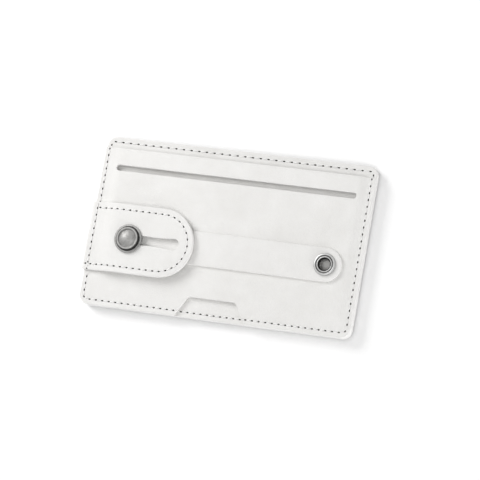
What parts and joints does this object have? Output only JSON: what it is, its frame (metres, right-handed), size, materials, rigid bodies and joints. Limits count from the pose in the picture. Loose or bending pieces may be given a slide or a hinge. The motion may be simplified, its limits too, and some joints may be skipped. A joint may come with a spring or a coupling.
{
  "type": "stick on phone card holder",
  "caption": "Flat sewn leather card pocket that sticks to a phone, with a card slot, a thumb notch, and a finger strap held by an eyelet and a stud that slides in a slotted tab.",
  "frame": {"origin": "centre of the holder's footprint, on the surface that its stick on back lies on", "axes": "+X along the holder's width from the tab to the eyelet, +Y up the holder towards its mouth, +Z out of its front"},
  "size_m": [0.0996, 0.0598, 0.01],
  "materials": {
    "leather_front": "satin, very fine grain",
    "leather_tab": "satin, very fine grain",
    "leather_plain": "satin, very fine grain",
    "sewing_thread": "matte twisted thread",
    "stud_metal": "satin turned, dull grey",
    "eyelet_metal": "bright rolled",
    "foam": "matte foam",
    "liner_paper": "smooth coated paper"
  },
  "bodies": {
    "holder": {"release_liner": "liner_paper", "adhesive_pad": "foam", "back_panel": "leather_plain", "inner_panel": "leather_plain", "front_panel": "leather_front", "top_seam_thread": "sewing_thread", "top_seam_bobbin": "sewing_thread", "side_seam_thread": "sewing_thread", "side_seam_bobbin": "sewing_thread", "tab_lining": "leather_plain", "tab_face": "leather_tab", "tab_seam_thread": "sewing_thread", "tab_seam_bobbin": "sewing_thread", "strap": "leather_tab", "eyelet": "eyelet_metal", "eyelet_washer": "eyelet_metal"},
    "stud": {"stud_base": "stud_metal", "stud_collar": "stud_metal", "stud_cap": "stud_metal"}
  },
  "joints": [
    {"name": "stud_slide", "type": "slide", "parent": "holder", "child": "stud", "axis": [1, 0, 0], "range_m": [0, 0.0166], "deforming": ["strap"]}
  ]
}
